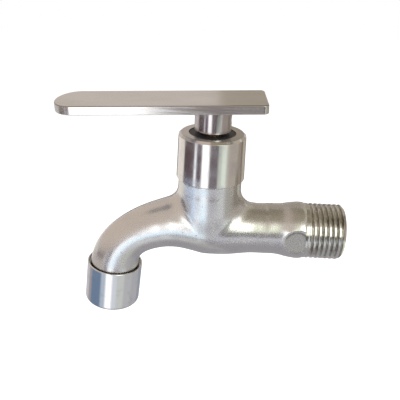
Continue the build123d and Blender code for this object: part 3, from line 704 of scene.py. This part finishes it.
def lever_steel():
    """Brushed plate: long fine scratches along the lever, and a painted dark reflection along its upper
    edge.
    """
    look = Look("lever_steel", (0.62, 0.605, 0.585), 0.15)
    brushed = look.noise((14, 0.14, 0.6), 4)
    look.raise_by(brushed, 0.0018)
    look.rougher(0.12, look.window(brushed, 0.4, 0.7))
    clouds = look.noise((22, 16, 16), 3, 4.0)
    look.tint((0.56, 0.545, 0.51), look.window(clouds, 0.42, 0.68))
    # Painted reflection: a dark line just below the upper face, along the lever's edge
    droop = look.math("MULTIPLY", look.along("X"), -tan(LEVER_DROOP))
    below_top = look.math("SUBTRACT", LEVER_TOP, look.math("ADD", look.along("Z"), droop))
    past_top = look.window(below_top, *LEVER_SHADE_START)
    past_edge = look.window(below_top, *LEVER_SHADE_END, 1, 0)
    painted_edge_shade = look.math("MULTIPLY", past_top, past_edge)
    look.tint((0.22, 0.20, 0.19), look.math("MULTIPLY", painted_edge_shade, 0.85))
    return look.done()


def chrome():
    """Plated cup: smooth, with faint water marks."""
    look = Look("aerator_chrome", (0.70, 0.70, 0.71), 0.11)
    marks = look.noise((3, 3, 3), 4)
    look.rougher(0.08, look.window(marks, 0.5, 0.75))
    look.tint((0.60, 0.60, 0.62), look.window(marks, 0.55, 0.8))
    ripple = look.noise((5, 5, 8), 2, 9.0)
    look.raise_by(ripple, 0.001)
    return look.done()


def moulded(name, colour, roughness, grain_size=0.5):
    """Moulded plastic, rubber, fibre or ceramic: faint mottling and a fine skin."""
    look = Look(name, colour, roughness, 0.0)
    mottle = look.noise((3, 3, 3), 3)
    darker = [c * MOTTLE_SHADE for c in colour]
    look.tint(darker, look.window(mottle, 0.4, 0.75))
    grain = look.noise((grain_size,) * 3, 2, 5.0)
    look.raise_by(grain, 0.006)
    look.rougher(0.10, look.window(grain, 0.4, 0.7))
    return look.done()


def bare_metal(name, colour, roughness):
    """Small machined metal pieces: tool marks and faint stain."""
    look = Look(name, colour, roughness)
    marks = look.noise((3, 3, 0.15), 3)
    look.raise_by(marks, 0.004)
    stain = look.noise((4, 4, 4), 3, 6.0)
    darker = [c * STAIN_SHADE for c in colour]
    look.tint(darker, look.window(stain, 0.5, 0.75))
    look.rougher(0.12, look.window(stain, 0.45, 0.7))
    return look.done()


def finishes():
    """One material for each of the record's slots."""
    return {
        "cast_steel": cast_steel(),
        "polished_steel": polished_steel(),
        "lever_steel": lever_steel(),
        "aerator_chrome": chrome(),
        "brass": bare_metal("brass", (0.34, 0.25, 0.13), 0.38),
        "spring_steel": bare_metal("spring_steel", (0.42, 0.41, 0.40), 0.30),
        "steel_mesh": bare_metal("steel_mesh", (0.50, 0.50, 0.50), 0.35),
        "black_rubber": moulded("black_rubber", (0.018, 0.018, 0.019), 0.62),
        "fibre": moulded("fibre", (0.30, 0.07, 0.04), 0.75, 0.3),
        "white_ceramic": moulded("white_ceramic", (0.80, 0.79, 0.76), 0.12, 2.0),
        "black_nylon": moulded("black_nylon", (0.022, 0.022, 0.023), 0.45),
        "white_acetal": moulded("white_acetal", (0.74, 0.74, 0.72), 0.36),
        "grey_acetal": moulded("grey_acetal", (0.35, 0.36, 0.37), 0.40),
    }


def dress(piece, material):
    """Gives a piece one material."""
    piece.data.materials.clear()
    piece.data.materials.append(material)


def dress_nodes(looks):
    """Gives every CAD node that stays the finish of its slot."""
    for name, node in nodes.items():
        for place in node.material_slots:
            key = next((k for k in looks if place.material and k in place.material.name), None)
            if key:
                place.material = looks[key]
            else:
                print("no finish for", name, place.material)


# Stage
def flat(name, corners, material):
    """A stage card through four corners."""
    bm = bmesh.new()
    bm.faces.new([bm.verts.new(c) for c in corners])
    card = new_piece(name, bm)
    card.data.materials.append(material)
    return card


def glow(name, colour, strength):
    """A material that only gives light."""
    material = bpy.data.materials.new(name)
    material.use_nodes = True
    tree = material.node_tree
    tree.nodes.clear()
    light = tree.nodes.new("ShaderNodeEmission")
    light.inputs["Color"].default_value = (*colour, 1)
    light.inputs["Strength"].default_value = strength
    out = tree.nodes.new("ShaderNodeOutputMaterial")
    tree.links.new(light.outputs[0], out.inputs["Surface"])
    return material


def arc_grid(bm, middle, levels, angles):
    """Adds a card round an upright line at x = middle to a mesh. Its rows are levels of (reach, height),
    its columns are angles in degrees from the front to the right. Returns its columns of vertices."""
    columns = []
    for angle in angles:
        turn = radians(angle)
        spots = [(middle + reach * sin(turn), -reach * cos(turn), height) for reach, height in levels]
        columns.append([bm.verts.new(spot) for spot in spots])
    for here, there in zip(columns, columns[1:]):
        for i in range(len(levels) - 1):
            bm.faces.new((here[i], there[i], there[i + 1], here[i + 1]))
    return columns


def mirrored_card(name, bm, material):
    """A card that only reflections see."""
    card = new_piece(name, bm)
    card.data.materials.append(material)
    for flag in ("visible_camera", "visible_diffuse", "visible_shadow"):
        setattr(card, flag, False)
    return card


def curved_card(name, middle, from_angle, to_angle, levels, colour, strength):
    """A card of one colour round an upright line at x = middle."""
    across = max(int(abs(to_angle - from_angle) / CARD_STEP), 2)
    angles = [from_angle + (to_angle - from_angle) * column / across for column in range(across + 1)]
    bm = bmesh.new()
    arc_grid(bm, middle, levels, angles)
    return mirrored_card(name, bm, glow(name, colour, strength))


def sphere_levels(low, high):
    """Rows on the sphere of cards between two elevations in degrees."""
    upward = max(int(abs(high - low) / CARD_STEP), 2)
    rises = [radians(low + (high - low) * row / upward) for row in range(upward + 1)]
    return [(CARD_REACH * cos(up), CARD_REACH * sin(up)) for up in rises]


def shade_card(name, from_angle, to_angle, low, high, colour, strength):
    """A card on a sphere round the neck, between two elevations in degrees."""
    return curved_card(name, NECK_X, from_angle, to_angle, sphere_levels(low, high), colour, strength)


def band_ring(name, middle, levels, bands, fade):
    """A card round an upright line at x = middle, whose bands of colour fade into each other over fade
    degrees on both sides of a border."""
    stops, shades = [], []
    for from_angle, to_angle, colour, strength in bands:
        stops += [from_angle + fade, to_angle - fade]
        shades += [np.array(colour) * strength] * 2
    shades = np.array(shades)
    bm = bmesh.new()
    layer = bm.verts.layers.float_color.new("band")
    angles = range(bands[0][0], bands[-1][1] + 1)
    for angle, column in zip(angles, arc_grid(bm, middle, levels, angles)):
        shade = [np.interp(angle, stops, shades[:, channel]) for channel in range(3)]
        for corner in column:
            corner[layer] = (*shade, 1)
    material = glow(name, (1, 1, 1), 1.0)
    tree = material.node_tree
    band = tree.nodes.new("ShaderNodeAttribute")
    band.attribute_name = "band"
    tree.links.new(band.outputs["Color"], tree.nodes["Emission"].inputs["Color"])
    return mirrored_card(name, bm, material)


def looked_at(tree):
    """1 for camera, glossy and transmission rays, and 0 for all others."""
    rays = tree.nodes.new("ShaderNodeLightPath")
    seen = rays.outputs["Is Camera Ray"]
    for kind in ("Is Glossy Ray", "Is Transmission Ray"):
        either = tree.nodes.new("ShaderNodeMath")
        either.operation = "MAXIMUM"
        tree.links.new(seen, either.inputs[0])
        tree.links.new(rays.outputs[kind], either.inputs[1])
        seen = either.outputs[0]
    return seen


def floor():
    """A pale floor. Camera, glossy and transmission rays see it as white as the background, less the
    shadow."""
    level = cad_box[0].z - FLOOR_DROP
    material = bpy.data.materials.new("floor")
    material.use_nodes = True
    tree = material.node_tree
    shader = tree.nodes["Principled BSDF"]
    shader.inputs["Base Color"].default_value = (*FLOOR_COLOUR, 1)
    shader.inputs["Roughness"].default_value = FLOOR_ROUGHNESS
    level_light = tree.nodes.new("ShaderNodeMath")
    level_light.operation = "MULTIPLY"
    level_light.inputs[1].default_value = FLOOR_GLOW
    tree.links.new(looked_at(tree), level_light.inputs[0])
    shader.inputs["Emission Color"].default_value = (1, 1, 1, 1)
    tree.links.new(level_light.outputs[0], shader.inputs["Emission Strength"])
    h = FLOOR_HALF
    return flat("floor", [(-h, -h, level), (h, -h, level), (h, h, level), (-h, h, level)], material)


def world():
    """White where camera, glossy and transmission rays look, and a plain grey light otherwise."""
    sky = bpy.data.worlds.new("studio")
    sky.use_nodes = True
    tree = sky.node_tree
    back = tree.nodes["Background"]
    back.inputs["Color"].default_value = (1, 1, 1, 1)
    strength = tree.nodes.new("ShaderNodeMapRange")
    strength.inputs["To Min"].default_value = SKY_LIGHT
    strength.inputs["To Max"].default_value = SKY_SEEN
    tree.links.new(looked_at(tree), strength.inputs["Value"])
    tree.links.new(strength.outputs[0], back.inputs["Strength"])
    bpy.context.scene.world = sky


def lamp(name, place, width, height, power, colour):
    """A soft box that looks at the middle of the tap."""
    light = bpy.data.lights.new(name, "AREA")
    light.shape = "RECTANGLE"
    light.size = width
    light.size_y = height
    light.energy = power
    light.color = colour
    lamp_object = bpy.data.objects.new(name, light)
    bpy.context.scene.collection.objects.link(lamp_object)
    centre = (cad_box[0] + cad_box[1]) / 2
    lamp_object.location = place
    lamp_object.visible_glossy = False
    lamp_object.rotation_mode = "QUATERNION"
    lamp_object.rotation_quaternion = (centre - Vector(place)).to_track_quat("-Z", "Y")


# Cards on the sphere round the neck: name, from and to angle, lowest and highest elevation, colour and
# strength. Angles are in degrees from the front to the right, elevations in degrees above level.
CARDS = (
    ("lever_left", -180, -96, -7.9, -2.5, (0.69, 0.67, 0.68), 1.0),
    ("lever_dark", -94, -55, -6.3, -2.5, (0.42, 0.39, 0.39), 1.0),
    ("lever_lilac", -54, -31, -7.9, -2.5, (0.42, 0.38, 0.43), 1.0),
    ("lever_glint", -10.3, -8.2, -7.9, -1, (0.74, 0.78, 0.84), 1.0),
    ("lever_mauve", -8, 10, -7.9, 5.3, (0.34, 0.30, 0.31), 1.0),
    ("lever_green", 11, 46, -7.9, 5, (0.17, 0.17, 0.165), 1.0),
    ("neck_cream", -148, -102, -30, -18.7, (0.80, 0.76, 0.71), 1.32),
    ("hub_dark", -100, -54, -7.95, -6.4, (0.19, 0.15, 0.16), 1.0),
    ("neck_sky", -112, -50, -27, -18.8, (0.57, 0.75, 1.0), 2.0),
    ("neck_white", -49, -31, -32, -18.8, (0.78, 0.88, 1.0), 1.9),
    ("neck_grey", -5, 53, -27.3, -18.8, (0.88, 0.89, 1.0), 1.0),
    ("neck_foot", -5, 53, -31, -27.3, (0.54, 0.545, 0.56), 1.0),
    ("neck_olive", 55, 98, -44, -18.8, (0.52, 0.52, 0.50), 1.0),
    ("neck_yellow", 100, 130, -44, -18.8, (0.84, 0.86, 0.70), 1.2),
    ("neck_edge", 131, 149, -44, -18.8, (0.42, 0.42, 0.37), 1.0),
    ("low_left", -180, -114, -44, -31, (0.58, 0.53, 0.51), 1.0),
    ("low_warm", -112, -76, -44, -27.5, (0.86, 0.77, 0.72), 1.0),
    ("low_mist", -75, -50, -44, -27.5, (0.56, 0.57, 0.64), 1.0),
    ("low_front", -49, 22, -44, -32.5, (0.47, 0.475, 0.545), 1.0),
    ("low_right", 24, 53, -44, -32, (0.48, 0.475, 0.48), 1.0),
    ("soft_box", -29, -11, -7.95, 15, (0.98, 0.99, 1.0), 2.6),
    ("soft_box_high", -11, -7, 0, 15, (0.98, 0.99, 1.0), 2.1),
    ("neck_bright", -29, -7, -30.5, -18.8, (0.63, 0.84, 1.0), 1.95),
    ("front_cream", -29, 1, 15.5, 20, (0.95, 0.88, 0.74), 1.0),
    ("front_tan", -29, 1, 20, 46, (0.80, 0.70, 0.63), 1.0),
    ("barrel_glow", 2, 20, 5.5, 38, (0.95, 1.0, 0.77), 1.05),
    ("thread_glow", 18, 46, 5.5, 38, (0.96, 1.0, 0.92), 3.5),
    ("front_mid", 2, 34, 38.5, 45, (0.86, 0.78, 0.65), 1.0),
    ("right_beige", 55, 97, -7.95, 34, (0.56, 0.51, 0.45), 1.0),
    ("right_brown", 99, 117, -7.95, 34, (0.42, 0.36, 0.30), 1.0),
    ("right_line", 118, 124, -7.95, 20, (0.16, 0.12, 0.10), 1.0),
    ("right_edge", 125, 149, -7.95, 34, (0.50, 0.44, 0.36), 1.0),
    ("back_dark", 150, 210, -44, 3, (0.18, 0.16, 0.15), 1.0),
    ("back_beige", 150, 180, 8, 51, (0.48, 0.425, 0.355), 1.0),
    ("back_warm", 180, 215, 8, 51, (0.71, 0.64, 0.59), 1.0),
    ("ceiling_left", -180, -10, 52, 90, (0.75, 0.64, 0.56), 1.0),
    ("ceiling_right", -10, 100, 52, 90, (0.40, 0.35, 0.265), 1.0),
    ("ceiling_back", 100, 180, 52, 90, (0.32, 0.28, 0.21), 1.0),
    ("left_wall", -145, -31, -2, 51, (0.79, 0.68, 0.60), 1.0),
    ("front_top", -29, 34, 46, 51, (0.74, 0.66, 0.55), 1.0),
    ("right_wall", 36, 149, 35, 51, (0.60, 0.54, 0.43), 1.0),
    ("under", -180, 180, -90, -44.5, (0.46, 0.45, 0.485), 1.0),
)

# The ring that the sleeve mirrors lies on the same sphere. Its elevations and its fade are in degrees.
# Bands: from and to angle, colour, strength.
SLEEVE_RING_LOW, SLEEVE_RING_HIGH = -18.65, -8.0
SLEEVE_FADE = 3.0
SLEEVE_BANDS = (
    (-148, -101, (0.80, 0.76, 0.71), 1.32),
    (-101, -72, (0.13, 0.085, 0.09), 1.0),
    (-72, -57, (0.17, 0.12, 0.135), 1.0),
    (-57, -49, (0.90, 0.95, 1.0), 1.6),
    (-49, -30, (0.15, 0.11, 0.13), 1.0),
    (-30, -6, (0.98, 0.99, 1.0), 1.9),
    (-6, 23, (0.205, 0.175, 0.20), 1.0),
    (23, 35, (0.74, 0.80, 0.74), 1.0),
    (35, 51, (1.03, 1.15, 1.03), 1.0),
    (51, 60, (0.68, 0.66, 0.60), 1.0),
    (60, 98, (0.57, 0.52, 0.46), 1.0),
    (98, 118, (0.42, 0.36, 0.30), 1.0),
    (118, 125, (0.16, 0.12, 0.10), 1.0),
    (125, 149, (0.57, 0.51, 0.42), 1.0),
)

# The ring round the cup: its place, reach and height, its fade in degrees, and its bands as above
CUP_X = -72.5 * MM
CUP_RING_REACH = 48.0 * MM
CUP_RING_LOW, CUP_RING_HIGH = -84.0 * MM, -36.0 * MM
CUP_RING_LEVELS = ((CUP_RING_REACH, CUP_RING_LOW), (CUP_RING_REACH, CUP_RING_HIGH))
CUP_FADE = 4.0
CUP_BANDS = (
    (-180, -104, (0.66, 0.64, 0.66), 1.0),
    (-104, -87, (0.44, 0.40, 0.42), 1.0),
    (-87, -43, (0.20, 0.28, 0.41), 1.0),
    (-43, -24, (0.58, 0.66, 0.75), 1.0),
    (-24, -1, (1.0, 1.0, 1.0), 1.6),
    (-1, 17, (0.83, 0.86, 0.92), 1.0),
    (17, 46, (0.73, 0.75, 0.71), 1.0),
    (46, 80, (0.60, 0.60, 0.61), 1.0),
    (80, 123, (0.53, 0.53, 0.55), 1.0),
    (123, 180, (0.37, 0.39, 0.44), 1.0),
)

# A card above that ring, low enough for the spout's end alone to mirror it
SPOUT_CARD_ANGLES = (-125, -40)
SPOUT_CARD_LOW, SPOUT_CARD_HIGH = -35.5 * MM, -20.0 * MM
SPOUT_CARD_LEVELS = ((CUP_RING_REACH, SPOUT_CARD_LOW), (CUP_RING_REACH, SPOUT_CARD_HIGH))
SPOUT_CARD_COLOUR = (0.74, 0.68, 0.64)

# Lamps: name, place, width, height, power, colour
LAMPS = (
    ("key", (-0.45, -0.55, 0.50), 0.5, 0.5, 5.0, (1.0, 1.0, 1.0)),
    ("fill", (0.50, -0.35, 0.25), 0.4, 0.5, 2.0, (1.0, 0.97, 0.92)),
    ("top", (0.0, 0.15, 0.70), 0.6, 0.4, 4.0, (1.0, 0.96, 0.92)),
)


def stage():
    """Floor, cards for reflections, sky and lamps."""
    pieces = [floor()]
    pieces += [shade_card(*card) for card in CARDS]
    sleeve_levels = sphere_levels(SLEEVE_RING_LOW, SLEEVE_RING_HIGH)
    pieces.append(band_ring("sleeve_ring", NECK_X, sleeve_levels, SLEEVE_BANDS, SLEEVE_FADE))
    pieces.append(band_ring("cup_ring", CUP_X, CUP_RING_LEVELS, CUP_BANDS, CUP_FADE))
    spout_shade = (SPOUT_CARD_LEVELS, SPOUT_CARD_COLOUR, 1.0)
    pieces.append(curved_card("spout_card", CUP_X, *SPOUT_CARD_ANGLES, *spout_shade))
    world()
    for values in LAMPS:
        lamp(*values)


def camera():
    """The camera of the photograph: place, yaw, pitch and roll, then the lens."""
    level = cos(CAMERA_PITCH)
    forward = Vector((sin(CAMERA_YAW) * level, cos(CAMERA_YAW) * level, -sin(CAMERA_PITCH)))
    right = Vector((cos(CAMERA_YAW), -sin(CAMERA_YAW), 0))
    down = forward.cross(right)
    across = right * cos(CAMERA_ROLL) + down * sin(CAMERA_ROLL)
    up = right * sin(CAMERA_ROLL) - down * cos(CAMERA_ROLL)
    data = bpy.data.cameras.new("camera")
    data.sensor_width = SENSOR
    data.lens = FOCAL_PIXELS / IMAGE_PIXELS * SENSOR
    data.clip_start = CLIP_START
    data.clip_end = CLIP_END
    view = bpy.data.objects.new("camera", data)
    bpy.context.scene.collection.objects.link(view)
    turn = Matrix((across, up, -forward)).transposed()
    view.matrix_world = Matrix.Translation(CAMERA_PLACE) @ turn.to_4x4()
    bpy.context.scene.camera = view


looks = finishes()
dress_nodes(looks)
dress(casting(), looks["cast_steel"])
dress(inlet_thread(), thread_steel())
dress(sleeve(), looks["polished_steel"])
dress(hub(), shaded_hub_steel())
stage()
camera()

scene = bpy.context.scene
scene.view_settings.view_transform = "Standard"
